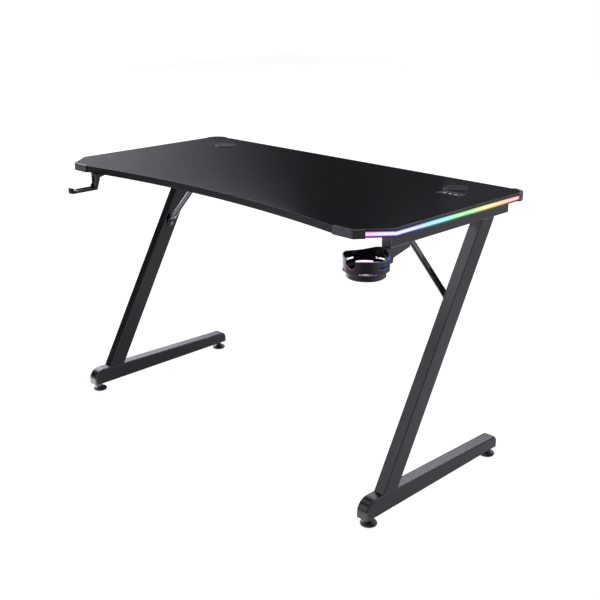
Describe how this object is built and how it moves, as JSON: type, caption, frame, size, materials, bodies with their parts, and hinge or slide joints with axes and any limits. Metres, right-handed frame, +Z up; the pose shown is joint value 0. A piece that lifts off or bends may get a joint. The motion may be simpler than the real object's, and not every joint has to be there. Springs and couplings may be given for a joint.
{
  "type": "gaming desk",
  "caption": "Black gaming desk with a hollowed front edge, leaning Z-frame legs, a lit right edge, a cup holder and a headset hook.",
  "frame": {"origin": "on the floor, under the centre of the bounding box", "axes": "+X to the right of a user who sits at the desk, +Y away from the user, +Z up"},
  "size_m": [1.2204, 0.6884, 0.7418],
  "materials": {
    "laminate": "satin",
    "frame_paint": "satin",
    "trim": "matte",
    "zinc": "satin",
    "pad": "satin",
    "opal": "satin",
    "channel": "satin",
    "tape": "matte",
    "diode": "gloss",
    "touch_lens": "gloss",
    "circuit": "satin"
  },
  "bodies": {
    "desk": {"beam_plate_left": "frame_paint", "beam_plate_right": "frame_paint", "brace_left": "frame_paint", "brace_right": "frame_paint", "brace_screws": "zinc", "control_bezel": "trim", "control_board": "circuit", "control_housing": "trim", "control_inlet": "trim", "control_lens": "touch_lens", "control_screws": "zinc", "cross_beam": "frame_paint", "cup_holder": "trim", "desktop_board": "laminate", "foot_nut_plates": "zinc", "foot_rail_left": "frame_paint", "foot_rail_right": "frame_paint", "frame_bolts": "zinc", "grommet_sleeve_left": "trim", "grommet_sleeve_right": "trim", "guard_back_left": "trim", "guard_back_right": "trim", "guard_front_left": "trim", "guard_front_right": "trim", "guard_screws": "zinc", "headset_hook": "trim", "hook_screws": "zinc", "leg_left": "frame_paint", "leg_right": "frame_paint", "light_channel": "channel", "light_diffuser": "opal", "light_diodes": "diode", "light_tape": "tape", "rail_cap_back_left": "trim", "rail_cap_back_right": "trim", "rail_cap_front_left": "trim", "rail_cap_front_right": "trim", "rail_screws": "zinc", "top_rail_left": "frame_paint", "top_rail_right": "frame_paint", "weld_nuts": "zinc"},
    "foot_front_left": {"foot_pad_front_left": "pad"},
    "stud_front_left": {"foot_stud_front_left": "zinc"},
    "foot_front_right": {"foot_pad_front_right": "pad"},
    "stud_front_right": {"foot_stud_front_right": "zinc"},
    "foot_back_left": {"foot_pad_back_left": "pad"},
    "stud_back_left": {"foot_stud_back_left": "zinc"},
    "foot_back_right": {"foot_pad_back_right": "pad"},
    "stud_back_right": {"foot_stud_back_right": "zinc"},
    "cover_left": {"grommet_cover_left": "trim"},
    "cover_right": {"grommet_cover_right": "trim"}
  },
  "joints": [
    {"name": "foot_drop_front_left", "type": "slide", "parent": "desk", "child": "foot_front_left", "axis": [0, 0, -1], "range_m": [0, 0.012]},
    {"name": "stud_turn_front_left", "type": "hinge", "parent": "foot_front_left", "child": "stud_front_left", "pos_m": [-0.5727, -0.21125, 0.03], "axis": [0, 0, -1], "range_deg": [0, 3460]},
    {"name": "foot_drop_front_right", "type": "slide", "parent": "desk", "child": "foot_front_right", "axis": [0, 0, -1], "range_m": [0, 0.012]},
    {"name": "stud_turn_front_right", "type": "hinge", "parent": "foot_front_right", "child": "stud_front_right", "pos_m": [0.5573, -0.21125, 0.03], "axis": [0, 0, -1], "range_deg": [0, 3460]},
    {"name": "foot_drop_back_left", "type": "slide", "parent": "desk", "child": "foot_back_left", "axis": [0, 0, -1], "range_m": [0, 0.012]},
    {"name": "stud_turn_back_left", "type": "hinge", "parent": "foot_back_left", "child": "stud_back_left", "pos_m": [-0.5727, 0.28875, 0.03], "axis": [0, 0, -1], "range_deg": [0, 3460]},
    {"name": "foot_drop_back_right", "type": "slide", "parent": "desk", "child": "foot_back_right", "axis": [0, 0, -1], "range_m": [0, 0.012]},
    {"name": "stud_turn_back_right", "type": "hinge", "parent": "foot_back_right", "child": "stud_back_right", "pos_m": [0.5573, 0.28875, 0.03], "axis": [0, 0, -1], "range_deg": [0, 3460]},
    {"name": "cover_lift_left", "type": "slide", "parent": "desk", "child": "cover_left", "axis": [0, 0, 1], "range_m": [0, 0.03]},
    {"name": "cover_lift_right", "type": "slide", "parent": "desk", "child": "cover_right", "axis": [0, 0, 1], "range_m": [0, 0.03]}
  ],
  "couplings": [
    {"joint": "stud_turn_front_left", "follows": "foot_drop_front_left", "rad_per_m": 5026.5},
    {"joint": "stud_turn_front_right", "follows": "foot_drop_front_right", "rad_per_m": 5026.5},
    {"joint": "stud_turn_back_left", "follows": "foot_drop_back_left", "rad_per_m": 5026.5},
    {"joint": "stud_turn_back_right", "follows": "foot_drop_back_right", "rad_per_m": 5026.5}
  ]
}
